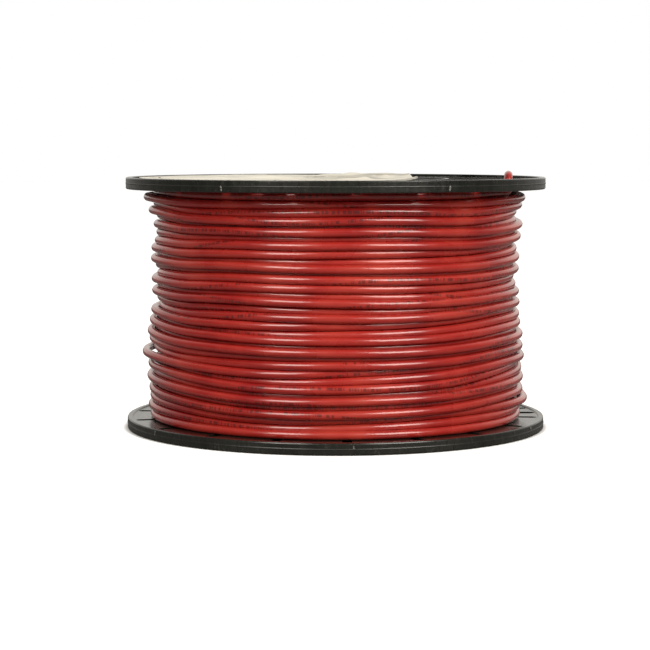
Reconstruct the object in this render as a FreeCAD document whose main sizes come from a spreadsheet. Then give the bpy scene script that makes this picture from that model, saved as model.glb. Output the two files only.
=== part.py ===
"""Wire spool: two snap-on flanges, a barrel, an arbor tube, a label and a full winding of wire.

+Z is the spool's axis, and the origin is the middle of the face that it stands on. Millimetres.
"""

import FreeCAD
import Part
import math
import os
import Sketcher

VEC = FreeCAD.Vector
UP = VEC(0, 0, 1)
ALONG_X = VEC(1, 0, 0)

DRIVING = {
    "flange_radius": 104.8,
    "overall_height": 125.0,
    "rim_height": 5.8,
    "rim_wall": 3.0,
    "rim_step": 0.15,
    "bead_height": 0.7,
    "lip_height": 0.5,
    "edge_round": 0.6,
    "web_thickness": 2.4,
    "rib_setback": 0.8,
    "rib_width": 1.8,
    "ring_rib_radius": 55.0,
    "slot_count": 18,
    "slot_width": 4.6,
    "slot_inner": 60.0,
    "slot_outer": 101.2,
    "tie_hole_width": 6.4,
    "tie_hole_inner": 89.5,
    "tie_hole_outer": 101.2,
    "barrel_radius": 44.45,
    "barrel_wall": 3.0,
    "spigot_gap": 0.15,
    "spigot_wall": 2.4,
    "spigot_length": 12.0,
    "hub_wall": 5.0,
    "hub_length": 16.0,
    "hub_web_width": 2.0,
    "hub_web_length": 9.0,
    "hub_web_count": 6,
    "arbor_radius": 14.3,
    "arbor_wall": 2.6,
    "press_gap": 0.05,
    "lug_count": 3,
    "lug_width": 9.0,
    "lug_length": 3.2,
    "lug_depth": 1.1,
    "lug_start": 6.0,
    "window_gap": 0.35,
    "wire_diameter": 4.1,
    "copper_diameter": 2.95,
    "copper_depth": 4.0,
    "layer_count": 13,
    "winding_radius": 92.5,
    "bulge_radius": 94.6,
    "layer_gap": 0.02,
    "face_gap": 0.05,
    "start_hole_radius": 2.4,
    "start_turn_radius": 47.3,
    "free_end_radius": 91.0,
    "label_radius": 98.0,
    "label_chord": 38.0,
    "label_corner": 9.0,
    "label_thickness": 0.25,
    "label_hole": 21.0,
}

FREE_END_ANGLE = 66.5  # degrees round from -Y towards +X, where the free end comes up
LOWER_PHASE = 3.3  # degrees, the same way, to one slot of the lower flange
TIE_HOLE_ANGLE = 90.0  # degrees from a slot that both flanges are turned by

doc = FreeCAD.newDocument("wire_spool")
sheet = doc.addObject("Spreadsheet::Sheet", "Sheet")
for row, (alias, value) in enumerate(DRIVING.items(), start=1):
    sheet.set(f"A{row}", alias)
    sheet.set(f"B{row}", str(value))
    sheet.setAlias(f"B{row}", alias)
doc.recompute()


def cell(alias):
    """The value of a driving dimension, read from the sheet."""
    return float(sheet.get(alias))


def on_sheet(text):
    """An expression with every driving dimension in it read from the sheet."""
    words = text.replace("(", "( ").replace(")", " )").split()
    return " ".join(f"Sheet.{word}" if word in DRIVING else word for word in words)


def origin_plane(body, role):
    return next(f for f in body.Origin.OriginFeatures if f.Role == role)


def new_sketch(body, name, role, lift=None):
    """A sketch on one of the body's own origin planes, lifted along the plane's normal."""
    sketch = body.newObject("Sketcher::SketchObject", name)
    sketch.AttachmentSupport = [(origin_plane(body, role), "")]
    sketch.MapMode = "FlatFace"
    if lift:
        sketch.setExpression("AttachmentOffset.Base.z", on_sheet(lift))
    return sketch


def polygon(sketch, corners):
    """A closed outline of straight edges. Each corner is two expressions, bound to the sheet."""
    count = len(corners)
    places = [VEC(evaluated(x), evaluated(y), 0) for x, y in corners]
    for index in range(count):
        edge = Part.LineSegment(places[index], places[(index + 1) % count])
        sketch.addGeometry(edge, False)
    for index in range(count):
        sketch.addConstraint(
            Sketcher.Constraint("Coincident", index, 2, (index + 1) % count, 1)
        )
    for index, (x, y) in enumerate(corners):
        bind_point(sketch, "DistanceX", index, x, places[index].x)
        bind_point(sketch, "DistanceY", index, y, places[index].y)


def bind_point(sketch, kind, edge, text, value):
    """Hold an edge's first point at a distance from the sketch's origin."""
    number = sketch.addConstraint(Sketcher.Constraint(kind, -1, 1, edge, 1, value))
    sketch.setExpression(f"Constraints[{number}]", on_sheet(text))


def evaluated(text):
    """What an expression comes to, for a first drawing that its constraints then hold."""
    probe = doc.getObject("Probe") or doc.addObject("App::FeaturePython", "Probe")
    if "answer" not in probe.PropertiesList:
        probe.addProperty("App::PropertyFloat", "answer")
    probe.setExpression("answer", on_sheet(text))
    probe.recompute()
    return probe.answer


def slot_outline(sketch, inner, outer, width):
    """A radial slot along the sketch's X axis with a half-round outer end."""
    half = evaluated(f"{width} / 2")
    start = evaluated(inner)
    turn = evaluated(f"{outer} - {width} / 2")
    sketch.addGeometry(Part.LineSegment(VEC(start, -half, 0), VEC(turn, -half, 0)))
    arc = Part.ArcOfCircle(Part.Circle(VEC(turn, 0, 0), UP, half), -math.pi / 2, math.pi / 2)
    sketch.addGeometry(arc)
    sketch.addGeometry(Part.LineSegment(VEC(turn, half, 0), VEC(start, half, 0)))
    sketch.addGeometry(Part.LineSegment(VEC(start, half, 0), VEC(start, -half, 0)))
    for first, second in ((0, 1), (3, 0)):
        sketch.addConstraint(Sketcher.Constraint("Coincident", first, 2, second, 1))
    sketch.addConstraint(Sketcher.Constraint("Coincident", 1, 2, 2, 1))
    sketch.addConstraint(Sketcher.Constraint("Coincident", 2, 2, 3, 1))
    bind_point(sketch, "DistanceX", 0, inner, start)
    bind_point(sketch, "DistanceY", 0, f"0 - {width} / 2", -half)
    bind_point(sketch, "DistanceX", 1, f"{outer} - {width} / 2", turn)
    bind_point(sketch, "DistanceY", 1, f"0 - {width} / 2", -half)
    bind_point(sketch, "DistanceX", 2, f"{outer} - {width} / 2", turn)
    bind_point(sketch, "DistanceY", 2, f"{width} / 2", half)
    bind_point(sketch, "DistanceX", 3, inner, start)
    bind_point(sketch, "DistanceY", 3, f"{width} / 2", half)


def revolved(body, name, corners):
    """A full turn about Z of an outline given as radius and height."""
    sketch = new_sketch(body, f"{name}Profile", "XZ_Plane")
    polygon(sketch, corners)
    turn = body.newObject("PartDesign::Revolution", name)
    turn.Profile = sketch
    turn.ReferenceAxis = (sketch, ["V_Axis"])
    turn.Angle = 360.0
    return turn


def padded(body, name, sketch, length):
    pad = body.newObject("PartDesign::Pad", name)
    pad.Profile = sketch
    pad.setExpression("Length", on_sheet(length))
    return pad


def cut_through(body, name, sketch):
    """A pocket both ways through everything."""
    pocket = body.newObject("PartDesign::Pocket", name)
    pocket.Profile = sketch
    pocket.Type = "ThroughAll"
    pocket.Midplane = True
    return pocket


def around(body, feature, name, count):
    """Repeat a feature evenly round the axis."""
    pattern = body.newObject("PartDesign::PolarPattern", name)
    pattern.Originals = [feature]
    pattern.Axis = (origin_plane(body, "Z_Axis"), [""])
    pattern.Angle = 360.0
    pattern.setExpression("Occurrences", on_sheet(count))
    body.Tip = pattern
    return pattern


def turned_sketch(body, name, degrees, lift=None):
    """A sketch on the XY plane, turned about the axis."""
    sketch = new_sketch(body, name, "XY_Plane")
    sketch.AttachmentOffset = FreeCAD.Placement(VEC(0, 0, 0), FreeCAD.Rotation(UP, degrees))
    if lift:
        sketch.setExpression("AttachmentOffset.Base.z", on_sheet(lift))
    return sketch


def rectangle(sketch, inner, outer, width):
    """A radial bar along the sketch's X axis."""
    polygon(
        sketch,
        [
            (inner, f"0 - {width} / 2"),
            (outer, f"0 - {width} / 2"),
            (outer, f"{width} / 2"),
            (inner, f"{width} / 2"),
        ],
    )


# ---------------------------------------------------------------- flanges

WEB_OUTER = "rim_height - lip_height - web_thickness"
WEB_INNER = "rim_height - lip_height"
HUB_INNER = "arbor_radius + arbor_wall + press_gap"
SPIGOT_OUTER = "barrel_radius - barrel_wall - spigot_gap"


def flange(label):
    """One moulding, its outer face down at height 0 and its inner face up."""
    body = doc.addObject("PartDesign::Body", label)
    body.Label = label
    revolved(
        body,
        "Disc",
        [
            (HUB_INNER, "rib_setback"),
            (f"{HUB_INNER} + hub_wall", "rib_setback"),
            (f"{HUB_INNER} + hub_wall", WEB_OUTER),
            ("flange_radius - rim_wall", WEB_OUTER),
            ("flange_radius - rim_wall", "edge_round / 2"),
            ("flange_radius - rim_wall + edge_round / 2", "0"),
            ("flange_radius - rim_step - edge_round", "0"),
            ("flange_radius - rim_step - edge_round / 3", "edge_round / 3"),
            ("flange_radius - rim_step", "edge_round"),
            ("flange_radius - rim_step", "rim_height / 2 - bead_height / 2"),
            ("flange_radius", "rim_height / 2"),
            ("flange_radius - rim_step", "rim_height / 2 + bead_height / 2"),
            ("flange_radius - rim_step", "rim_height - edge_round"),
            ("flange_radius - rim_step - edge_round / 3", "rim_height - edge_round / 3"),
            ("flange_radius - rim_step - edge_round", "rim_height"),
            ("flange_radius - rim_wall + edge_round / 2", "rim_height"),
            ("flange_radius - rim_wall", WEB_INNER),
            (SPIGOT_OUTER, WEB_INNER),
            (SPIGOT_OUTER, f"{WEB_INNER} + spigot_length"),
            (f"{SPIGOT_OUTER} - spigot_wall", f"{WEB_INNER} + spigot_length"),
            (f"{SPIGOT_OUTER} - spigot_wall", WEB_INNER),
            (f"{HUB_INNER} + hub_wall", WEB_INNER),
            (f"{HUB_INNER} + hub_wall - 1.2", f"{WEB_INNER} + hub_length"),
            (HUB_INNER, f"{WEB_INNER} + hub_length"),
        ],
    )

    ribs = turned_sketch(body, "RibOutline", 180.0 / cell("slot_count"), "rib_setback")
    rectangle(ribs, f"{HUB_INNER} + hub_wall - 1", "flange_radius - rim_wall + 1", "rib_width")
    rib = padded(body, "Rib", ribs, f"{WEB_OUTER} - rib_setback + 0.4")
    around(body, rib, "Ribs", "slot_count")

    ring = revolved(
        body,
        "RingRib",
        [
            ("ring_rib_radius", "rib_setback"),
            ("ring_rib_radius + rib_width", "rib_setback"),
            ("ring_rib_radius + rib_width", f"{WEB_OUTER} + 0.4"),
            ("ring_rib_radius", f"{WEB_OUTER} + 0.4"),
        ],
    )
    body.Tip = ring

    hub_webs = turned_sketch(body, "HubWebOutline", 0.0, f"{WEB_INNER} - 0.4")
    rectangle(hub_webs, f"{HUB_INNER} + hub_wall - 2", f"{SPIGOT_OUTER} - 1", "hub_web_width")
    hub_web = padded(body, "HubWeb", hub_webs, "hub_web_length + 0.4")
    around(body, hub_web, "HubWebs", "hub_web_count")

    lug_sketch = new_sketch(body, "LugOutline", "XZ_Plane")
    polygon(
        lug_sketch,
        [
            (f"{SPIGOT_OUTER} - 1", f"{WEB_INNER} + lug_start"),
            (f"{SPIGOT_OUTER} + lug_depth", f"{WEB_INNER} + lug_start"),
            (f"{SPIGOT_OUTER} + lug_depth", f"{WEB_INNER} + lug_start + 0.6"),
            (f"{SPIGOT_OUTER}", f"{WEB_INNER} + lug_start + lug_length"),
            (f"{SPIGOT_OUTER} - 1", f"{WEB_INNER} + lug_start + lug_length"),
        ],
    )
    lug = padded(body, "Lug", lug_sketch, "lug_width")
    lug.Midplane = True
    around(body, lug, "Lugs", "lug_count")

    slot_sketch = turned_sketch(body, "SlotOutline", 0.0)
    slot_outline(slot_sketch, "slot_inner", "slot_outer", "slot_width")
    slot = cut_through(body, "Slot", slot_sketch)
    around(body, slot, "Slots", "slot_count")

    tie_sketch = turned_sketch(body, "TieHoleOutline", TIE_HOLE_ANGLE)
    slot_outline(tie_sketch, "tie_hole_inner", "tie_hole_outer", "tie_hole_width")
    body.Tip = cut_through(body, "TieHole", tie_sketch)

    start_sketch = turned_sketch(body, "StartHoleOutline", 180.0)
    start_sketch.addGeometry(
        Part.Circle(VEC(cell("start_turn_radius"), 0, 0), UP, cell("start_hole_radius"))
    )
    start_sketch.addConstraint(Sketcher.Constraint("PointOnObject", 0, 3, -1))
    for constraint, alias in (
        (Sketcher.Constraint("Radius", 0, cell("start_hole_radius")), "start_hole_radius"),
        (
            Sketcher.Constraint("DistanceX", -1, 1, 0, 3, cell("start_turn_radius")),
            "start_turn_radius",
        ),
    ):
        number = start_sketch.addConstraint(constraint)
        start_sketch.setExpression(f"Constraints[{number}]", on_sheet(alias))
    body.Tip = cut_through(body, "StartHole", start_sketch)
    return body


def placed(node, height, flipped, degrees):
    """Stand a flange at a height, turned about the axis and, if asked, upside down."""
    turn = FreeCAD.Rotation(UP, degrees)
    if flipped:
        turn = turn.multiply(FreeCAD.Rotation(ALONG_X, 180))
    node.Placement = FreeCAD.Placement(VEC(0, 0, height), turn)
    return node


# ---------------------------------------------------------------- tubes round the axis


def cylinder(name, radius, height, base):
    solid = doc.addObject("Part::Cylinder", name)
    solid.setExpression("Radius", on_sheet(radius))
    solid.setExpression("Height", on_sheet(height))
    solid.setExpression("Placement.Base.z", on_sheet(base))
    return solid


def tube(label, outer, inner, height, base):
    """A plain tube about the axis, its sizes bound to the sheet."""
    wall = cylinder(f"{label}_outside", outer, height, base)
    hole = cylinder(f"{label}_inside", inner, height, base)
    cut = doc.addObject("Part::Cut", label)
    cut.Base = wall
    cut.Tool = hole
    cut.Label = label
    return cut


def window_box(name, degrees, base):
    """A box across the barrel's wall, where a snap lug clicks in."""
    box = doc.addObject("Part::Box", name)
    box.setExpression("Length", on_sheet("barrel_wall + 4"))
    box.setExpression("Width", on_sheet("lug_width + 2 * window_gap"))
    box.setExpression("Height", on_sheet("lug_length + 2 * window_gap"))
    turn = FreeCAD.Rotation(UP, degrees)
    inner = cell("barrel_radius") - cell("barrel_wall") - 2
    side = -(cell("lug_width") / 2 + cell("window_gap"))
    box.Placement = FreeCAD.Placement(turn.multVec(VEC(inner, side, base)), turn)
    return box


def barrel(lower_turn, upper_turn):
    """The drum between the flanges, with a ring of windows near each end."""
    clear = "press_gap"
    height = f"overall_height - 2 * ( {WEB_INNER} ) - 2 * {clear}"
    wall = tube("barrel_blank", "barrel_radius", "barrel_radius - barrel_wall", height,
                f"{WEB_INNER} + {clear}")
    low = evaluated(f"{WEB_INNER} + lug_start - window_gap")
    high = evaluated(f"overall_height - ( {WEB_INNER} + lug_start + lug_length ) - window_gap")
    boxes = []
    for number in range(int(cell("lug_count"))):
        step = number * 360.0 / cell("lug_count")
        boxes.append(window_box(f"LowWindow{number}", lower_turn + step, low))
        boxes.append(window_box(f"HighWindow{number}", upper_turn + step, high))
    windows = doc.addObject("Part::MultiFuse", "Windows")
    windows.Shapes = boxes
    cut = doc.addObject("Part::Cut", "barrel_tube")
    cut.Base = wall
    cut.Tool = windows
    cut.Label = "barrel_tube"
    return cut


# ---------------------------------------------------------------- label


def label_disc():
    """A round paper label with a straight side and a hole for the hub."""
    body = doc.addObject("PartDesign::Body", "paper_label")
    body.Label = "paper_label"
    sketch = new_sketch(body, "LabelOutline", "XY_Plane", "overall_height - rib_setback")
    radius = cell("label_radius")
    chord = cell("label_chord")
    reach = math.sqrt(radius**2 - chord**2)
    bend = math.atan2(reach, chord)
    arc = Part.ArcOfCircle(Part.Circle(VEC(0, 0, 0), UP, radius), bend, 2 * math.pi - bend)
    sketch.addGeometry(arc)
    sketch.addGeometry(Part.LineSegment(VEC(chord, -reach, 0), VEC(chord, reach, 0)))
    sketch.addGeometry(Part.Circle(VEC(0, 0, 0), UP, cell("label_hole")))
    for constraint in (
        Sketcher.Constraint("Coincident", 0, 2, 1, 1),
        Sketcher.Constraint("Coincident", 1, 2, 0, 1),
        Sketcher.Constraint("Coincident", 0, 3, -1, 1),
        Sketcher.Constraint("Coincident", 2, 3, -1, 1),
        Sketcher.Constraint("Vertical", 1),
    ):
        sketch.addConstraint(constraint)
    for constraint, alias in (
        (Sketcher.Constraint("Radius", 0, radius), "label_radius"),
        (Sketcher.Constraint("Radius", 2, cell("label_hole")), "label_hole"),
        (Sketcher.Constraint("DistanceX", -1, 1, 1, 1, chord), "label_chord"),
    ):
        number = sketch.addConstraint(constraint)
        sketch.setExpression(f"Constraints[{number}]", on_sheet(alias))
    pad = padded(body, "LabelSheet", sketch, "label_thickness")
    doc.recompute()
    corners = [
        f"Edge{number}"
        for number, edge in enumerate(pad.Shape.Edges, start=1)
        if edge.Length < 1 and abs(edge.CenterOfMass.x - chord) < 0.01
    ]
    rounding = body.newObject("PartDesign::Fillet", "LabelCorners")
    rounding.Base = (pad, corners)
    rounding.setExpression("Radius", on_sheet("label_corner"))
    body.Tip = rounding
    return body


# ---------------------------------------------------------------- wire

FIRST_LAYER = "barrel_radius + wire_diameter / 2"
LAYER_STEP = f"( winding_radius - wire_diameter / 2 - ( {FIRST_LAYER} ) ) / ( layer_count - 1 )"


def layer(number):
    """The shell that one layer of turns fills, from web to web. The last one takes in its bulges."""
    first = number == 1
    last = number == cell("layer_count")
    middle = f"{FIRST_LAYER} + {number - 1} * ( {LAYER_STEP} )"
    inner = "barrel_radius + layer_gap" if first else f"{middle} - ( {LAYER_STEP} ) / 2 + layer_gap"
    outer = "bulge_radius" if last else f"{middle} + ( {LAYER_STEP} ) / 2"
    height = f"overall_height - 2 * ( {WEB_INNER} + face_gap )"
    return tube(f"wire_layer_{number:02d}", outer, inner, height, f"{WEB_INNER} + face_gap")


def rounded_path(points, name):
    """Straight runs joined by arcs that are tangent to both, as one wire."""
    edges = []
    start = points[0]
    radii = []
    for before, corner, after in zip(points, points[1:], points[2:]):
        towards = (before - corner).normalize()
        away = (after - corner).normalize()
        half_turn = (math.pi - towards.getAngle(away)) / 2
        reach = 0.45 * min((before - corner).Length, (after - corner).Length)
        radius = reach / math.tan(half_turn)
        radii.append(round(radius, 2))
        enter = corner + towards * reach
        leave = corner + away * reach
        bisector = (towards + away).normalize()
        middle = corner + bisector * (radius / math.cos(half_turn) - radius)
        edges.append(Part.LineSegment(start, enter).toShape())
        edges.append(Part.Arc(enter, middle, leave).toShape())
        start = leave
    edges.append(Part.LineSegment(start, points[-1]).toShape())
    path = Part.Wire(edges)
    print(name, "bend radii", radii, "length", round(path.Length, 2))
    return path


def swept(path, radius):
    """A round solid along a path, checked against its section times its length."""
    first = path.Edges[0]
    start = first.valueAt(first.FirstParameter)
    direction = first.tangentAt(first.FirstParameter)
    ring = Part.Wire(Part.Circle(start, direction, radius).toShape())
    solid = path.makePipeShell([ring], True, True)
    expected = math.pi * radius**2 * path.Length
    if abs(solid.Volume / expected - 1) > 0.01:
        raise RuntimeError("a wire's volume isn't its section times its length")
    return solid


def shaped(label, shape):
    part = doc.addObject("Part::Feature", label)
    part.Label = label
    part.Shape = shape
    return part


def strand_group(end, inwards):
    """Nineteen copper strands, one in the middle and two rings round it, from the cut face in."""
    across = cell("copper_diameter") / 5
    seat = cell("copper_depth")
    side = inwards.cross(VEC(0.3, 0.4, 0.87)).normalize()
    other = inwards.cross(side).normalize()
    strands = []
    for count, spread in ((1, 0), (6, 1), (12, 1.93)):
        for number in range(count):
            turn = 2 * math.pi * (number + spread / 4) / count
            offset = (side * math.cos(turn) + other * math.sin(turn)) * spread * across
            strands.append(
                Part.makeCylinder(0.47 * across, seat, end + offset, inwards)
            )
    return Part.makeCompound(strands)


def wire_end(name, points):
    """A stretch of wire with the copper seated in its cut end, as two parts."""
    path = rounded_path(points, name)
    solid = swept(path, cell("wire_diameter") / 2)
    inwards = (points[-2] - points[-1]).normalize()
    seat = Part.makeCylinder(
        cell("copper_diameter") / 2, cell("copper_depth"), points[-1], inwards
    )
    shaped(f"wire_{name}", solid.cut(seat))
    shaped(f"{name}_strands", strand_group(points[-1], inwards))


def free_end():
    """Up from the last turn through a slot of the upper flange, over, and a short way along."""
    angle = math.radians(FREE_END_ANGLE)
    radius = cell("free_end_radius")
    across = VEC(radius * math.sin(angle), -radius * math.cos(angle), 0)
    base = evaluated(f"overall_height - ( {WEB_INNER} ) - face_gap")
    over = VEC(0.084, 0.996, 0).normalize()
    wire_end(
        "free_end",
        [
            across + UP * base,
            across + UP * (base + 4.0),
            across + over * 2.8 + UP * (base + 6.6),
            across + over * 8.8 + UP * (base + 6.8),
            across + over * 14.6 + UP * (base + 6.65),
        ],
    )


def start_end(turn):
    """Down from the first turn through the start hole, cut off inside the rim's height."""
    angle = math.radians(turn + 180.0)
    radius = cell("start_turn_radius")
    across = VEC(radius * math.cos(angle), radius * math.sin(angle), 0)
    top = evaluated(f"{WEB_INNER} + face_gap")
    wire_end("start_end", [across + UP * top, across + UP * 1.2])


# ---------------------------------------------------------------- assembly

lower_turn = LOWER_PHASE - 90.0
upper_turn = FREE_END_ANGLE - 90.0
placed(flange("lower_flange"), 0.0, False, lower_turn)
placed(flange("upper_flange"), cell("overall_height"), True, upper_turn)
barrel(lower_turn, upper_turn)
tube(
    "arbor_tube",
    "arbor_radius + arbor_wall",
    "arbor_radius",
    "overall_height - 2 * rib_setback",
    "rib_setback",
)
label_disc()
for number in range(1, int(cell("layer_count")) + 1):
    layer(number)
free_end()
start_end(lower_turn)
doc.removeObject("Probe")
doc.recompute()

nodes = ["lower_flange", "upper_flange", "barrel_tube", "arbor_tube", "paper_label"]
nodes += [f"wire_layer_{number:02d}" for number in range(1, int(cell("layer_count")) + 1)]
nodes += ["wire_free_end", "free_end_strands", "wire_start_end", "start_end_strands"]

for thing in doc.Objects:
    if "Invalid" in thing.State or "Error" in thing.State:
        raise RuntimeError(f"{thing.Name} failed: {thing.State}")
os.makedirs("parts", exist_ok=True)
for name in nodes:
    shape = doc.getObjectsByLabel(name)[0].Shape
    if shape.isNull() or not shape.isValid() or shape.Volume <= 0:
        raise RuntimeError(f"{name} has no valid shape")
    shape.exportStep(f"parts/{name}.step")
    print(f"{name}: {len(shape.Solids)} solid(s), {shape.Volume / 1000:.2f} cm3")
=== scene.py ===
"""A spool of red building wire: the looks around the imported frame, in metres."""

import math

import bpy
import numpy as np
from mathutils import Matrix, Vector


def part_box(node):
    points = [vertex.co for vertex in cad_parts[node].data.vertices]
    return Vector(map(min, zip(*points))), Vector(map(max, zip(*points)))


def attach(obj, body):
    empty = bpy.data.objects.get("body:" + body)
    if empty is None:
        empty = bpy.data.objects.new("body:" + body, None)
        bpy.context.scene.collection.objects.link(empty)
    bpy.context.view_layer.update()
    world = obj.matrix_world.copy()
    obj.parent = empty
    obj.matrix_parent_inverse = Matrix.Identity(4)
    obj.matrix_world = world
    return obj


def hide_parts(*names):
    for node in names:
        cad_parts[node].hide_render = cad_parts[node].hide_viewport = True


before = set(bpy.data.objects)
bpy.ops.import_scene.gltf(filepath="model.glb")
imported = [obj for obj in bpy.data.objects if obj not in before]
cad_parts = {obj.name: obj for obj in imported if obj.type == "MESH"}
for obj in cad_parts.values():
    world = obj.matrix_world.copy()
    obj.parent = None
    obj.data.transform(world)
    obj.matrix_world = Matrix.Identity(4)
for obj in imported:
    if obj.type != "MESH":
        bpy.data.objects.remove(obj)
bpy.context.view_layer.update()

BODY = "root"
MM = 0.001
TURN = 2 * math.pi


def new_object(name, data):
    """An object for a mesh, a light or a camera, in the scene and at the origin."""
    thing = bpy.data.objects.new(name, data)
    bpy.context.scene.collection.objects.link(thing)
    return thing


def smooth_faces(mesh):
    mesh.polygons.foreach_set("use_smooth", [True] * len(mesh.polygons))


def eased(share):
    """A smooth step from 0 to 1."""
    share = np.clip(share, 0, 1)
    return share * share * (3 - 2 * share)


def in_mm(*points):
    """Points that are written in mm, in metres."""
    return [tuple(value * MM for value in point) for point in points]


# ---------------------------------------------------------------- the wire
WIRE = 4.1 * MM
COPPER = 2.95 * MM
CUT_DEPTH = 4.0 * MM
CUT_CHAMFER = 0.12 * MM

WEB_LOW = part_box("wire_layer_01")[0].z
WEB_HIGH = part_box("wire_layer_01")[1].z
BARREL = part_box("barrel_tube")[1].x
LOWEST = WEB_LOW + WIRE / 2
HIGHEST = WEB_HIGH - WIRE / 2

# A layer ends at the angle STEP_FROM, and the wire climbs from there to the next one by STEP_TO.
LAYERS = 13
FIRST_RADIUS = BARREL + WIRE / 2
LAYER_STEP = 3.5 * MM
STEP_FROM = math.radians(20)
STEP_TO = math.radians(60)
INNER_TURNS = 27 - (STEP_TO - STEP_FROM) / TURN
INNER_PER_TURN = 24

# The start end stands in its hole in the lower web, and the free end goes up through a slot.
START_END = in_mm((-2.72, 47.22, 1.2), (-2.72, 47.22, 5.35), (-2.72, 47.22, 7.1))
START_ANGLE = math.radians(107.3)
FREE_END = in_mm(
    (83.45, -36.29, 117.60),
    (83.45, -36.29, 123.65),
    (83.69, -33.50, 126.25),
    (84.19, -27.52, 126.45),
    (84.68, -21.74, 126.30),
)
FREE_END_ANGLE = math.radians(336.5)
NODE_OF_END = {1: "wire_start_end", LAYERS: "wire_free_end"}

# The outer layer is counted in turns from where its first pass lies on the lower web.
OUTER_RADIUS = 90.8 * MM
OUTER_PASSES = 35
OUTER_PER_TURN = 32
OUTER_SEED = 11
LAST_PASS_TURNS = (FREE_END_ANGLE - STEP_TO) / TURN
# The layer's last point stays short of the free end by at least this share of a point's spacing.
SHORT_OF_FREE_END = 0.4

# Stretches of the outer layer slip down between their neighbours: lengths and eases in turns.
FIRST_SLIP = 0.9
SLIP_TURNS = (0.75, 1.0)
SLIP_EASE = (0.16, 0.40)
SLIP_SHARE = (0.75, 1.0)
DEEPEST_SLIP = 4.2 * MM
WIDEST_STEP_OUT = 0.83 * WIRE

# Where a slack loop stands off the pile, or has slipped in: middle turn, length in turns, mm out.
LOOSE = (
    (1.33, 0.30, 1.2), (2.83, 0.28, 3.2), (9.33, 0.28, 3.2), (29.33, 0.34, -2.4),
    (32.33, 0.34, -2.6), (33.33, 0.30, 2.6), (33.80, 0.30, 2.0),
)
# Where two passes lie apart: middle turn, length in turns, gap in mm.
PARTED = (
    (1.33, 0.16, 0.8), (2.83, 0.20, 1.3), (9.33, 0.20, 1.2), (8.33, 0.20, 0.8),
    (18.55, 0.50, 0.8), (32.33, 0.34, 0.9), (29.33, 0.24, 0.6),
)
# How far the pile bulges at shares of its height, in mm.
BULGE_AT = (0.0, 0.05, 0.13, 0.36, 0.46, 0.62, 0.78, 0.86, 0.98, 1.0)
BULGE = (-0.3, 0.6, 1.7, 1.5, -0.1, -0.8, -0.5, 0.5, 0.6, -2.2)
# How the pile's radius and the gaps between passes wander: turns for each new value, and size.
PILE_WANDER = (0.37, 0.5 * MM)
GAP_WANDER = (0.29, 0.3 * MM)


def hump(turn, middle, length):
    """1 at the middle, falling smoothly to 0 half a length away."""
    return eased(1 - 2 * np.abs(turn - middle) / length)


def wander(draw, turn, share):
    """Smooth noise between about -1 and 1 along the wire, with a new value every share of a turn."""
    knots = draw.uniform(-1, 1, int(turn[-1] / share) + 3)
    at = turn / share
    first = at.astype(int)
    return knots[first] + eased(at - first) * (knots[first + 1] - knots[first])


def on_circle(angle, radius, height):
    return (radius * math.cos(angle), radius * math.sin(angle), height)


def outside_arc(per_turn):
    """How much further out a quadratic spline's points lie than the circle it follows."""
    return 1 / math.cos(TURN / per_turn / 2)


def layer_radius(number):
    return FIRST_RADIUS + (number - 1) * LAYER_STEP


def step_up(from_radius, to_radius, height, per_turn):
    """The wire climbing from the layer below to the next one out, along a web."""
    steps = round((STEP_TO - STEP_FROM) / TURN * per_turn)
    angles = np.linspace(STEP_FROM, STEP_TO, steps, endpoint=False)
    shares = eased((angles - STEP_FROM) / (STEP_TO - STEP_FROM))
    bow = outside_arc(per_turn)
    return [
        on_circle(a, (from_radius + s * (to_radius - from_radius)) * bow, height)
        for a, s in zip(angles, shares)
    ]


def inner_layer(number, start_angle):
    """One hidden layer: a plain helix, up for the odd layers and down for the even ones."""
    turns = INNER_TURNS - (start_angle - STEP_TO) / TURN
    low, high = (LOWEST, HIGHEST) if number % 2 else (HIGHEST, LOWEST)
    radius = layer_radius(number) * outside_arc(INNER_PER_TURN)
    return [
        on_circle(start_angle + share * turns * TURN, radius, low + share * (high - low))
        for share in np.linspace(0, 1, round(turns * INNER_PER_TURN) + 1)
    ]


def slipped(draw, turn):
    """0 where a pass rides on top, up to 1 where it has slipped down between its neighbours."""
    sunk = np.zeros(len(turn))
    start = FIRST_SLIP
    while start < turn[-1] - FIRST_SLIP:
        length = draw.uniform(*SLIP_TURNS)
        ease = draw.uniform(*SLIP_EASE)
        held = eased((turn - start) / ease + 0.5) * eased((start + length - turn) / ease + 0.5)
        sunk = np.maximum(sunk, held * draw.uniform(*SLIP_SHARE))
        start += length + draw.uniform(*SLIP_TURNS)
    return sunk


def settled(out, sunk, gap, room):
    """One column of passes, slipped in just far enough to fill the room: their spacing and radii."""
    shallow, deep = 0.0, DEEPEST_SLIP
    for _ in range(40):
        depth = (shallow + deep) / 2
        radii = out - depth * sunk
        steps_out = np.minimum(np.abs(np.diff(radii)), WIDEST_STEP_OUT)
        spacing = np.sqrt(WIRE ** 2 - steps_out ** 2) + gap
        if spacing.sum() > room:
            shallow = depth
        else:
            deep = depth
    return spacing * (room / spacing.sum()), radii


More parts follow.
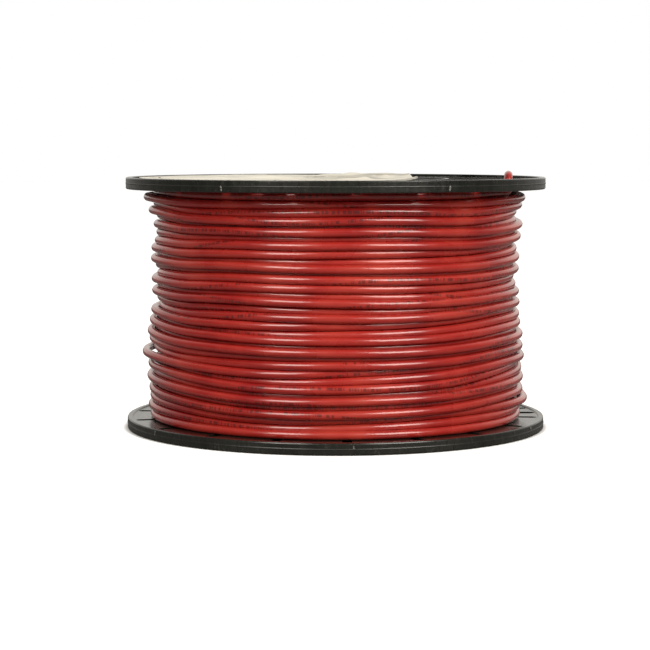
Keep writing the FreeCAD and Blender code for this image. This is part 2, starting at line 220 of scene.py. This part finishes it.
def outer_layer():
    """The outer layer's points. Each pass rests on the one below, and the slipped ones make room."""
    turns = OUTER_PASSES - 1 + LAST_PASS_TURNS
    count = math.floor(turns * OUTER_PER_TURN - SHORT_OF_FREE_END)
    last_column = count % OUTER_PER_TURN
    turn = np.arange(count + 1) / OUTER_PER_TURN
    draw = np.random.default_rng(OUTER_SEED)
    sunk = slipped(draw, turn)
    pile = np.interp(turn / turn[-1], BULGE_AT, BULGE) * MM
    for middle, length, stand_off in LOOSE:
        pile += hump(turn, middle, length) * stand_off * MM
        sunk *= 1 - hump(turn, middle, 1.3 * length)
    pile += wander(draw, turn, PILE_WANDER[0]) * PILE_WANDER[1]
    gap = GAP_WANDER[1] * np.maximum(wander(draw, turn, GAP_WANDER[0]), 0)
    for middle, length, width in PARTED:
        gap += hump(turn, middle, length) * width * MM

    # A column is the passes above one another at one angle. Past the free end's column the lowest
    # pass climbs off its web to become the second, and the highest one climbs to become the last.
    height = np.zeros(len(turn))
    radius = np.zeros(len(turn))
    first_spacing = top_spacing = WIRE
    for column in range(OUTER_PER_TURN):
        passes = np.arange(column, len(turn), OUTER_PER_TURN)
        rise = eased((column - last_column) / (OUTER_PER_TURN - last_column))
        low = LOWEST + rise * first_spacing
        high = HIGHEST - (1 - rise) * top_spacing if column > last_column else HIGHEST
        out = OUTER_RADIUS + pile[passes]
        spacing, radius[passes] = settled(out, sunk[passes], gap[passes[:-1]], high - low)
        height[passes] = low + np.concatenate([[0], np.cumsum(spacing)])
        if column == 0:
            first_spacing = spacing[0]
        if column == last_column:
            top_spacing = spacing[-1]
    radius *= outside_arc(OUTER_PER_TURN)
    return [on_circle(STEP_TO + TURN * t, r, z) for t, r, z in zip(turn, radius, height)]


def wire_route(number):
    """A layer's route, each point a control point of one smooth spline."""
    if number == 1:
        return START_END + inner_layer(number, START_ANGLE)
    web = LOWEST if number % 2 else HIGHEST
    below = layer_radius(number - 1)
    if number == LAYERS:
        return step_up(below, OUTER_RADIUS, web, OUTER_PER_TURN) + outer_layer() + FREE_END
    return step_up(below, layer_radius(number), web, INNER_PER_TURN) + inner_layer(number, STEP_TO)


def spline_through(route, points_between):
    """The line of a NURBS spline with the route's points as its control points."""
    curve = bpy.data.curves.new("route", "CURVE")
    curve.dimensions = "3D"
    curve.resolution_u = points_between
    spline = curve.splines.new("NURBS")
    spline.points.add(len(route) - 1)
    spline.points.foreach_set("co", [v for point in route for v in (*point, 1.0)])
    spline.order_u = 3
    spline.use_endpoint_u = True
    bearer = bpy.data.objects.new("route", curve)
    line_mesh = bpy.data.meshes.new_from_object(bearer)
    line = np.array([v.co for v in line_mesh.vertices], float)
    bpy.data.objects.remove(bearer)
    bpy.data.meshes.remove(line_mesh)
    bpy.data.curves.remove(curve)
    keep = np.append(True, np.linalg.norm(np.diff(line, axis=0), axis=1) > 1e-7)
    return line[keep]


def unit(rows):
    return rows / np.linalg.norm(rows, axis=1)[:, None]


def wire_rings(last, start_cut, end_cut):
    """The tube's rings in order: each one's point of the line, radius, and shift along the line."""
    full, lip = WIRE / 2, WIRE / 2 - CUT_CHAMFER
    rings = [(0, lip, 0.0), (0, full, CUT_CHAMFER)]
    rings += [(point, full, 0.0) for point in range(1, last)]
    rings += [(last, full, -CUT_CHAMFER), (last, lip, 0.0)]
    if start_cut:
        rings = [(0, COPPER / 2, CUT_DEPTH), (0, COPPER / 2, 0.0)] + rings
    if end_cut:
        rings += [(last, COPPER / 2, 0.0), (last, COPPER / 2, -CUT_DEPTH)]
    points, radii, shifts = zip(*rings)
    return np.array(points), np.array(radii), np.array(shifts)


def insulated_wire(name, line, sides, start_cut, end_cut):
    """A tube along the line, hollow at a cut end to show the strands.

    Its UV map has metres along it, and turns around it from outwards.
    """
    along = unit(np.gradient(line, axis=0))
    outwards = unit(line * (1, 1, 0))
    outwards = unit(outwards - (outwards * along).sum(1)[:, None] * along)
    up = np.cross(along, outwards)
    metres = np.append(0, np.cumsum(np.linalg.norm(np.diff(line, axis=0), axis=1)))

    at, radii, shifts = wire_rings(len(line) - 1, start_cut, end_cut)
    angles = np.linspace(0, TURN, sides, endpoint=False)[:, None]
    spokes = np.cos(angles) * outwards[at][:, None] + np.sin(angles) * up[at][:, None]
    centres = line[at] + along[at] * shifts[:, None]
    points = centres[:, None] + radii[:, None, None] * spokes

    count = len(at)
    row = np.arange(count - 1)[:, None] * sides
    side = np.arange(sides)
    beside = (side + 1) % sides
    corners = [row + side, row + beside, row + sides + beside, row + sides + side]
    quads = np.stack(corners, axis=2).reshape(-1, 4)
    caps = [list(range(sides))[::-1], list(range((count - 1) * sides, count * sides))]
    mesh = bpy.data.meshes.new(name)
    mesh.from_pydata(points.reshape(-1, 3).tolist(), [], quads.tolist() + caps)

    near, far = metres[at][:-1], metres[at][1:]
    u = np.repeat(np.stack([near, near, far, far], axis=1), sides, axis=0)
    v = np.tile(np.stack([side, side + 1, side + 1, side], axis=1) / sides, (count - 1, 1))
    tube_uv = np.stack([u, v], axis=2).reshape(-1, 2)
    start_uv = np.full((sides, 2), (metres[0], 0.5))
    end_uv = np.full((sides, 2), (metres[-1], 0.5))
    uv_map = mesh.uv_layers.new(name="along_wire")
    uv_map.data.foreach_set("uv", np.concatenate([tube_uv, start_uv, end_uv]).ravel())
    smooth_faces(mesh)
    mesh.set_sharp_from_angle(angle=math.radians(50))
    return new_object(name, mesh)


def fineness(number):
    """Points between two control points, and sides: more of both towards the outside."""
    if number == LAYERS:
        return 3, 16
    return (3, 12) if number == LAYERS - 1 else (2, 8)


def wind_wire():
    """The wire, one cord for each of its layers."""
    layers = []
    for number in range(1, LAYERS + 1):
        outer = number == LAYERS
        points_between, sides = fineness(number)
        line = spline_through(wire_route(number), points_between)
        piece = insulated_wire(f"wire_turns_{number:02d}", line, sides, number == 1, outer)
        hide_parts(f"wire_layer_{number:02d}")
        if number in NODE_OF_END:
            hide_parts(NODE_OF_END[number])
        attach(piece, BODY)
        layers.append(piece)
    return layers


# ---------------------------------------------------------------- ways to build a node tree
def node_adder(tree, family=""):
    """A way to add a node to a tree: its kind, its inputs as values or sockets, and its settings."""

    def add(kind, inputs=(), **settings):
        node = tree.nodes.new(family + kind)
        for key, value in settings.items():
            setattr(node, key, value)
        for key, value in dict(inputs).items():
            if isinstance(value, bpy.types.NodeSocket):
                tree.links.new(value, node.inputs[key])
            else:
                node.inputs[key].default_value = value
        return node

    return add


def finish(name):
    """A new material with its Principled shader, a way to add nodes and a way to set the shader."""
    material = bpy.data.materials.new(name)
    material.use_nodes = True
    nodes, links = material.node_tree.nodes, material.node_tree.links
    nodes.clear()
    output = nodes.new("ShaderNodeOutputMaterial")
    shader = nodes.new("ShaderNodeBsdfPrincipled")
    links.new(shader.outputs["BSDF"], output.inputs["Surface"])

    def shade(**inputs):
        for key, value in inputs.items():
            socket = shader.inputs[key.replace("_", " ")]
            if isinstance(value, bpy.types.NodeSocket):
                links.new(value, socket)
            else:
                socket.default_value = value

    return material, node_adder(material.node_tree, "ShaderNode"), shade


def maths(add, operation, *values):
    return add("Math", dict(enumerate(values)), operation=operation).outputs[0]


def product(add, first, *others):
    for other in others:
        first = maths(add, "MULTIPLY", first, other)
    return first


def band(add, value, middle, reach):
    """1 where a value is within reach of the middle, and 0 elsewhere."""
    off = maths(add, "ABSOLUTE", maths(add, "SUBTRACT", value, middle))
    return maths(add, "LESS_THAN", off, reach)


def ranged(add, value, low, high, bottom=0.0, top=1.0, **settings):
    """From bottom at low to top at high, and held beyond them."""
    limits = {"Value": value, "From Min": low, "From Max": high, "To Min": bottom, "To Max": top}
    return add("MapRange", limits, **settings).outputs[0]


def colours(add, share, *stops):
    """A colour ramp, each stop its place and its colour."""
    ramp = add("ValToRGB", {0: share})
    points = ramp.color_ramp.elements
    while len(points) < len(stops):
        points.new(0.5)
    for point, (place, colour) in zip(points, stops):
        point.position = place
        point.color = (*colour, 1)
    return ramp.outputs["Color"]


def opaque(colour):
    return colour if isinstance(colour, bpy.types.NodeSocket) else (*colour, 1)


def mixed(add, share, first, second):
    """The first colour at 0 and the second at 1, each a socket or three numbers."""
    inputs = {0: share, 6: opaque(first), 7: opaque(second)}
    return add("Mix", inputs, data_type="RGBA").outputs[2]


def stretched(add, place, scale):
    return add("Mapping", {"Vector": place, "Scale": scale}).outputs["Vector"]


def noise(add, place, scale, detail, **inputs):
    """Noise about 0.5, with the scale in lumps to a unit of the place."""
    inputs = {"Vector": place, "Scale": scale, "Detail": detail, **inputs}
    return add("TexNoise", inputs).outputs["Fac"]


def from_axis(add, place):
    """How far a place is from the spool's axis, and its x and y."""
    parts = add("SeparateXYZ", {0: place})
    x, y = parts.outputs["X"], parts.outputs["Y"]
    flat = add("CombineXYZ", {0: x, 1: y}).outputs[0]
    return add("VectorMath", {0: flat}, operation="LENGTH").outputs["Value"], x, y


def bumped(add, height, strength, distance):
    """The normal of a surface with this relief."""
    inputs = {"Strength": strength, "Distance": distance, "Height": height}
    return add("Bump", inputs).outputs["Normal"]


# ---------------------------------------------------------------- the finishes
# Along the wire: the place of one printed tick, the legend's repeat, and its printed share.
TICK = 0.5 * MM
LEGEND_REPEAT = 0.61
LEGEND_SHARE = 0.62
# The strands around the core, and the length of wire in which they move on by one place.
OUTER_STRANDS = 12
STRAND_SHIFT = 5.5 * MM

JACKET_REDS = (
    (0.3, (0.29, 0.010, 0.009)), (0.5, (0.385, 0.021, 0.015)), (0.7, (0.46, 0.042, 0.028)),
)
JACKET_DUST = (0.45, 0.22, 0.17)
JACKET_INK = (0.045, 0.006, 0.006)
PLASTIC_BLACKS = ((0.35, (0.0042, 0.0046, 0.0036)), (0.65, (0.016, 0.017, 0.014)))
RUBBED_BLACK = (0.020, 0.020, 0.016)
SCUFFED_BLACK = (0.075, 0.075, 0.066)
# Torn gate plastic: dark, and pale where stressed; the pale is also a painted glint.
TORN_BLACKS_AND_GLINT = ((0.35, (0.02, 0.02, 0.018)), (0.62, (0.22, 0.215, 0.19)))
PAPER_CREAMS = ((0.3, (0.70, 0.665, 0.575)), (0.75, (0.90, 0.865, 0.765)))
# The label's grey towards its straight side: grime and painted fold shade.
GRIMY_SHADED_PAPER = (0.27, 0.25, 0.205)
LABEL_INK = (0.06, 0.055, 0.05)
COPPERS = ((0.3, (0.40, 0.14, 0.06)), (0.7, (0.80, 0.36, 0.20)))


def jacket_ink(add, metres, around):
    """A row of plain ticks that drifts around the wire, printed over part of each repeat."""
    slow = product(add, metres, 0.9)
    drift = add("TexNoise", {"W": slow, "Detail": 1.0}, noise_dimensions="1D").outputs["Fac"]
    from_row = maths(add, "SUBTRACT", around, product(add, drift, 3.0))
    in_row = band(add, maths(add, "FRACT", from_row), 0.5, 0.060)
    cell = maths(add, "FLOOR", maths(add, "DIVIDE", metres, TICK))
    chance = add("TexWhiteNoise", {"W": cell}, noise_dimensions="1D").outputs["Value"]
    inked = maths(add, "GREATER_THAN", chance, 0.52)
    through_repeat = maths(add, "FRACT", maths(add, "DIVIDE", metres, LEGEND_REPEAT))
    printed = maths(add, "LESS_THAN", through_repeat, LEGEND_SHARE)
    return product(add, in_row, inked, printed, 0.6)


def jacket_finish():
    """Glossy red nylon over PVC, a little dusty, with the strands showing faintly through it."""
    material, add, shade = finish("red_nylon_jacket")
    uv = add("UVMap", uv_map="along_wire").outputs["UV"]
    parts = add("SeparateXYZ", {0: uv})
    metres, around = parts.outputs["X"], parts.outputs["Y"]
    place = add("TexCoord").outputs["Object"]

    patches = noise(add, place, 38.0, 3.0)
    specks = maths(add, "GREATER_THAN", noise(add, place, 900.0, 2.0), 0.72)
    red = mixed(add, product(add, specks, 0.15), colours(add, patches, *JACKET_REDS), JACKET_DUST)

    ripple = noise(add, stretched(add, uv, (60.0, 6.0, 1.0)), 1.0, 3.0)
    shifted = maths(add, "DIVIDE", metres, STRAND_SHIFT)
    strand = maths(add, "MULTIPLY_ADD", around, OUTER_STRANDS, shifted)
    strands = maths(add, "SINE", product(add, strand, TURN))
    relief = maths(add, "MULTIPLY_ADD", strands, 0.045, ripple)
    shade(
        Base_Color=mixed(add, jacket_ink(add, metres, around), red, JACKET_INK),
        Roughness=maths(add, "MULTIPLY_ADD", patches, 0.14, 0.20),
        Normal=bumped(add, relief, 0.12, 0.2 * MM),
        Specular_IOR_Level=0.5,
        Coat_Weight=0.55,
        Coat_Roughness=0.12,
    )
    return material


def plastic_finish():
    """Black moulded plastic with flow marks, scuffs, and a rim rubbed in streaks."""
    material, add, shade = finish("black_moulded_plastic")
    place = add("TexCoord").outputs["Object"]
    radius, _, _ = from_axis(add, place)
    on_rim = ranged(add, radius, 102.5 * MM, 104.0 * MM)
    on_crest = ranged(add, radius, 104.55 * MM, 104.75 * MM)

    flow = noise(add, place, 26.0, 4.0, Distortion=0.6)
    streaks = noise(add, stretched(add, place, (1.0, 1.0, 0.25)), 170.0, 4.0)
    rubbed = product(add, on_rim, maths(add, "MULTIPLY_ADD", streaks, 2.4, -1.0))
    black = mixed(add, rubbed, colours(add, flow, *PLASTIC_BLACKS), RUBBED_BLACK)
    scuffs = noise(add, stretched(add, place, (3.0, 3.0, 1.0)), 240.0, 5.0, Roughness=0.75)
    least = maths(add, "MULTIPLY_ADD", on_rim, -0.07, 0.68)
    scuffed = product(add, maths(add, "GREATER_THAN", scuffs, least), 0.35)

    waves = noise(add, place, 60.0, 2.0)
    grain = noise(add, place, 700.0, 3.0)
    relief = maths(add, "MULTIPLY_ADD", grain, 0.10, waves)
    rough = maths(add, "MULTIPLY_ADD", scuffs, 0.30, 0.05)
    shade(
        Base_Color=mixed(add, scuffed, black, SCUFFED_BLACK),
        Roughness=maths(add, "MULTIPLY_ADD", on_crest, 0.25, rough),
        Normal=bumped(add, relief, 0.5, 0.3 * MM),
        Specular_IOR_Level=0.5,
    )
    return material


def torn_plastic_and_glint_finish():
    """Black plastic where a gate was torn off: stressed pale, and the pale also stands in for a
    painted glint.
    """
    material, add, shade = finish("torn_plastic_with_painted_glint")
    # The noise makes pale stress marks, which also paint a glint.
    stress_and_glint = noise(add, add("TexCoord").outputs["Object"], 1200.0, 3.0)
    shade(
        Base_Color=colours(add, stress_and_glint, *TORN_BLACKS_AND_GLINT),
        Roughness=0.3,
        Normal=bumped(add, stress_and_glint, 0.6, 0.1 * MM),
        Specular_IOR_Level=0.5,
    )
    return material


def paper_finish():
    """Cream label paper, greyed towards its straight side by grime and painted fold shade, with a
    plain ring of ticks.
    """
    material, add, shade = finish("cream_label_paper")
    place = add("TexCoord").outputs["Object"]
    radius, x, y = from_axis(add, place)

    stains = noise(add, place, 22.0, 4.0)
    # Grey patches towards the straight side: grime and painted fold shade.
    grime_and_shade_noise = noise(add, stretched(add, place, (0.5, 1.6, 1.0)), 34.0, 5.0)
    towards_side = ranged(add, x, -25 * MM, 10 * MM)
    rubbed = product(add, ranged(add, grime_and_shade_noise, 0.46, 0.60, top=0.65), towards_side)
    cream = mixed(add, rubbed, colours(add, stains, *PAPER_CREAMS), GRIMY_SHADED_PAPER)

    ring = band(add, radius, 88 * MM, 0.5 * MM)
    ticks_round = product(add, maths(add, "ARCTAN2", y, x), 120 / TURN)
    tick = maths(add, "LESS_THAN", maths(add, "FRACT", ticks_round), 0.22)
    ticks = product(add, tick, band(add, radius, 91 * MM, 1.6 * MM))
    ink = product(add, maths(add, "MAXIMUM", ring, ticks), 0.8)
    shade(
        Base_Color=mixed(add, ink, cream, LABEL_INK),
        Roughness=0.55,
        Normal=bumped(add, noise(add, place, 1500.0, 3.0), 0.25, 0.1 * MM),
        Specular_IOR_Level=0.5,
    )
    return material


def copper_finish():
    """Bright drawn copper, cut square and a little tarnished."""
    material, add, shade = finish("cut_copper")
    tarnish = noise(add, add("TexCoord").outputs["Object"], 1400.0, 3.0)
    shade(
        Base_Color=colours(add, tarnish, *COPPERS),
        Metallic=1.0,
        Roughness=0.32,
        Normal=bumped(add, tarnish, 0.3, 0.05 * MM),
    )
    return material


def dress(thing, material):
    thing.data.materials.clear()
    thing.data.materials.append(material)


# ---------------------------------------------------------------- the label
LABEL_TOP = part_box("paper_label")[1].z
LABEL_RADIUS = -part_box("paper_label")[0].x
LABEL_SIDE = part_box("paper_label")[1].x
LABEL_HOLE = 21 * MM
LABEL_CORNER = 3 * MM
PAPER = 0.2 * MM
COCKLE = 0.25 * MM
# The cockling's waves in x and in y, in radians to a metre, and how much x bends the waves in y.
WAVES_IN_X = 70
WAVES_IN_Y = 55
WAVE_BEND = 900
SIDE_LIFT = 1.6 * MM
SIDE_LIFT_REACH = 7 * MM
AROUND_LABEL = 360
ACROSS_LABEL = 44

# Each fold's two ends, its width and its height, in mm.
CREASES = (
    ((-60, -62), (-52, 30), 2.2, 0.6),
    ((-30, -90), (4, -20), 2.0, 0.5),
    ((0, -80), (34, -10), 2.4, 0.8),
    ((12, -60), (36, 50), 1.8, 0.7),
    ((-12, 55), (34, 84), 3.5, 0.9),
    ((0, 72), (36, 56), 3.0, 0.7),
    ((-80, 10), (-30, 60), 2.5, 0.6),
    ((-72, -30), (-20, -36), 1.6, 0.5),
    ((-50, -36), (38, -29), 3.0, 1.0),
)


def label_edge(angle):
    """How far out the label's edge is: round, with one straight side and rounded corners."""
    towards = math.cos(angle)
    if towards <= 0:
        return LABEL_RADIUS
    straight = LABEL_SIDE / towards
    past_corner = (LABEL_RADIUS - straight) / LABEL_CORNER
    if past_corner > 6:
        return straight
    return LABEL_RADIUS - LABEL_CORNER * math.log1p(math.exp(past_corner))


def crease(x, y, start, end, width, height):
    """A fold's height at a point, all in mm: a ridge that dies away towards both ends."""
    start, run = Vector(start), Vector(end) - Vector(start)
    point = Vector((x, y)) - start
    share = point.dot(run) / run.length_squared
    off = (point - run * min(1, max(0, share))).length
    fade = eased(min(share, 1 - share) * 4 + 0.3)
    return float(height * math.exp(-((off / width) ** 2)) * fade)


def label_height(x, y):
    """How far the paper stands off the ribs: gentle cockling, folds, and its lifted straight side."""
    waves = math.sin(WAVES_IN_X * x + 2) * math.sin(WAVES_IN_Y * y + WAVE_BEND * x * x)
    folds = MM * sum(crease(x / MM, y / MM, *fold) for fold in CREASES)
    side = math.exp((x - LABEL_SIDE) / SIDE_LIFT_REACH)
    return COCKLE * (1 + waves) + folds + SIDE_LIFT * side * (0.6 + 0.4 * math.sin(60 * y))


def creased_label():
    """The paper label, stuck down on the ribs but cockled and lifting along its straight side."""
    points, faces = [], []
    row = ACROSS_LABEL + 1
    for i in range(AROUND_LABEL):
        angle = TURN * i / AROUND_LABEL
        width = label_edge(angle) - LABEL_HOLE
        here, beside = i * row, (i + 1) % AROUND_LABEL * row
        for j in range(row):
            radius = LABEL_HOLE + width * j / ACROSS_LABEL
            x, y, _ = on_circle(angle, radius, 0)
            points.append((x, y, LABEL_TOP + label_height(x, y)))
        for j in range(ACROSS_LABEL):
            faces.append((here + j, here + j + 1, beside + j + 1, beside + j))
    mesh = bpy.data.meshes.new("creased_label")
    mesh.from_pydata(points, [], faces)
    smooth_faces(mesh)
    label = new_object("creased_label", mesh)
    thickness = label.modifiers.new("paper", "SOLIDIFY")
    thickness.thickness = PAPER
    thickness.offset = -1
    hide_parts("paper_label")
    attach(label, BODY)
    return label


# ---------------------------------------------------------------- the gate marks
# How far in from the flange's outer face the marks are, and how far they lean, in radians.
GATE_INSET = 3.8 * MM
GATE_LEAN = 0.25
GATES = {"Count": 6, "Radius": 104.65 * MM, "Size": (0.28 * MM, 0.55 * MM, 1.3 * MM), "Seed": 3}
LOWER_GATES = GATES | {
    "Height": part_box("lower_flange")[0].z + GATE_INSET,
    "Turn": math.radians(-85.4),
}
UPPER_GATES = GATES | {"Height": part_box("upper_flange")[1].z - GATE_INSET, "Turn": 0.0}


def gate_mark_tree(material):
    """A ring of small torn gate vestiges, as moulding leaves them on a flange's rim."""
    tree = bpy.data.node_groups.new("gate_marks", "GeometryNodeTree")
    tree.interface.new_socket("Geometry", in_out="OUTPUT", socket_type="NodeSocketGeometry")
    for name, kind in (
        ("Count", "Int"), ("Radius", "Float"), ("Height", "Float"), ("Turn", "Float"),
        ("Size", "Vector"), ("Seed", "Int"),
    ):
        tree.interface.new_socket(name, in_out="INPUT", socket_type="NodeSocket" + kind)
    add = node_adder(tree)
    sizes = add("NodeGroupInput").outputs
    seed = sizes["Seed"]

    ring = add("GeometryNodeMeshCircle", {"Vertices": sizes["Count"], "Radius": sizes["Radius"]})
    chip = add("GeometryNodeMeshIcoSphere", {"Radius": 1.0, "Subdivisions": 2})
    step = add("ShaderNodeMath", {0: TURN, 1: sizes["Count"]}, operation="DIVIDE")
    index = add("GeometryNodeInputIndex")
    facing = add("ShaderNodeMath", {0: index.outputs[0], 1: step.outputs[0]}, operation="MULTIPLY")
    lean = add(
        "FunctionNodeRandomValue",
        {"Min": -GATE_LEAN, "Max": GATE_LEAN, "Seed": seed},
        data_type="FLOAT",
    )
    rotation = add("ShaderNodeCombineXYZ", {"X": lean.outputs["Value"], "Z": facing.outputs[0]})
    unevenness = add(
        "FunctionNodeRandomValue",
        {0: (0.8, 0.7, 0.75), 1: (1.2, 1.3, 1.25), "Seed": seed},
        data_type="FLOAT_VECTOR",
    )
    scale = add(
        "ShaderNodeVectorMath",
        {0: unevenness.outputs[0], 1: sizes["Size"]},
        operation="MULTIPLY",
    )
    chips = add(
        "GeometryNodeInstanceOnPoints",
        {
            "Points": ring.outputs[0],
            "Instance": chip.outputs[0],
            "Rotation": rotation.outputs[0],
            "Scale": scale.outputs[0],
        },
    )
    up = add("ShaderNodeCombineXYZ", {"Z": sizes["Height"]})
    turned = add("ShaderNodeCombineXYZ", {"Z": sizes["Turn"]})
    placed = add(
        "GeometryNodeTransform",
        {"Geometry": chips.outputs[0], "Translation": up.outputs[0], "Rotation": turned.outputs[0]},
    )
    real = add("GeometryNodeRealizeInstances", {"Geometry": placed.outputs[0]})
    dressed = add("GeometryNodeSetMaterial", {"Geometry": real.outputs[0], "Material": material})
    add("NodeGroupOutput", {"Geometry": dressed.outputs[0]})
    return tree


def gate_marks(name, tree, sizes):
    """One flange's gate marks as a plain mesh."""
    bearer = new_object(name, bpy.data.meshes.new(name))
    maker = bearer.modifiers.new("gate_marks", "NODES")
    maker.node_group = tree
    for socket in tree.interface.items_tree:
        if socket.in_out == "INPUT":
            maker[socket.identifier] = sizes[socket.name]
    seen = bearer.evaluated_get(bpy.context.evaluated_depsgraph_get())
    mesh = bpy.data.meshes.new_from_object(seen)
    bearer.modifiers.remove(maker)
    bearer.data = mesh
    smooth_faces(mesh)
    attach(bearer, BODY)


# ---------------------------------------------------------------- the studio
LIGHT_COLOUR = (1.0, 0.955, 0.88)
LIGHT_DISTANCE = 1.5
SPOOL_MIDDLE = Vector((0, 0, 60 * MM))
FLOOR_HALF = 6.0
# From the axis: where the floor begins to glow to the camera, and where its glow is full.
FLOOR_GLOW = (104.5 * MM, 108 * MM)

LENS = 112.4
SENSOR = 36
CAMERA_PLACE = (0, -1.019, 0.1423)
CAMERA_DOWN = math.radians(5.15)
CAMERA_TURN = math.radians(0.297)


def soft_light(name, azimuth, elevation, size, power):
    """A softbox aimed at the spool's middle, its azimuth counted from the camera's side."""
    lamp = bpy.data.lights.new(name, "AREA")
    lamp.shape = "RECTANGLE"
    lamp.size, lamp.size_y = size
    lamp.energy = power
    lamp.color = LIGHT_COLOUR
    light = new_object(name, lamp)
    a, e = math.radians(azimuth), math.radians(elevation)
    way = Vector((math.sin(a) * math.cos(e), -math.cos(a) * math.cos(e), math.sin(e)))
    light.location = SPOOL_MIDDLE + way * LIGHT_DISTANCE
    light.rotation_euler = way.to_track_quat("Z", "Y").to_euler()


def pale_floor():
    """A floor that the camera sees as white, but that is grey to the spool."""
    mesh = bpy.data.meshes.new("floor")
    corners = [(-1, -1), (1, -1), (1, 1), (-1, 1)]
    mesh.from_pydata([(x * FLOOR_HALF, y * FLOOR_HALF, 0) for x, y in corners], [], [(0, 1, 2, 3)])
    floor = new_object("floor", mesh)
    pale, add, shade = finish("pale_floor")
    to_camera = add("LightPath").outputs["Is Camera Ray"]
    place = add("TexCoord").outputs["Object"]
    from_middle = add("VectorMath", {0: place}, operation="LENGTH").outputs["Value"]
    glow = ranged(add, from_middle, *FLOOR_GLOW, top=0.7, interpolation_type="SMOOTHSTEP")
    shade(
        Base_Color=mixed(add, to_camera, (0.18, 0.18, 0.18), (0.9, 0.9, 0.9)),
        Roughness=0.9,
        Emission_Color=(1, 1, 1, 1),
        Emission_Strength=product(add, to_camera, glow),
    )
    dress(floor, pale)


def backdrop():
    """A world that is white to the camera. To the spool it is bright behind and dark in front."""
    world = bpy.data.worlds.new("studio")
    bpy.context.scene.world = world
    world.use_nodes = True
    world.node_tree.nodes.clear()
    add = node_adder(world.node_tree, "ShaderNode")
    way = add("SeparateXYZ", {0: add("TexCoord").outputs["Generated"]}).outputs
    behind = ranged(
        add, way["Y"], -0.12, 0.92, bottom=0.018, top=0.86, interpolation_type="SMOOTHSTEP"
    )
    left = maths(add, "MAXIMUM", product(add, way["X"], -1.0), 0.0)
    behind = product(add, behind, maths(add, "MULTIPLY_ADD", left, -0.40, 1.0))
    above = maths(add, "MAXIMUM", way["Z"], 0.0)
    lit = maths(add, "MULTIPLY_ADD", above, 0.20, behind)
    to_camera = add("LightPath").outputs["Is Camera Ray"]
    tint = mixed(add, to_camera, (1.0, 0.965, 0.90), (1, 1, 1))
    glow = add("Background", {"Color": tint, "Strength": maths(add, "MAXIMUM", lit, to_camera)})
    add("OutputWorld", {"Surface": glow.outputs[0]})


def camera():
    lens = bpy.data.cameras.new("camera")
    lens.lens = LENS
    lens.sensor_width = SENSOR
    viewer = new_object("camera", lens)
    viewer.location = CAMERA_PLACE
    viewer.rotation_euler = (math.radians(90) - CAMERA_DOWN, 0, CAMERA_TURN)
    bpy.context.scene.camera = viewer
    bpy.context.scene.view_settings.view_transform = "Standard"


# ---------------------------------------------------------------- put it together
jacket = jacket_finish()
plastic = plastic_finish()
paper = paper_finish()
copper = copper_finish()

for layer in wind_wire():
    dress(layer, jacket)
dress(creased_label(), paper)
for node in ("upper_flange", "lower_flange", "barrel_tube", "arbor_tube"):
    dress(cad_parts[node], plastic)
for node in ("free_end_strands", "start_end_strands"):
    dress(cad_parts[node], copper)

gates = gate_mark_tree(torn_plastic_and_glint_finish())
gate_marks("lower_gate_marks", gates, LOWER_GATES)
gate_marks("upper_gate_marks", gates, UPPER_GATES)

pale_floor()
backdrop()
soft_light("left_softbox", -31, 30, (0.55, 0.90), 12.8)
soft_light("right_softbox", 39, 30, (0.75, 0.90), 19)
camera()
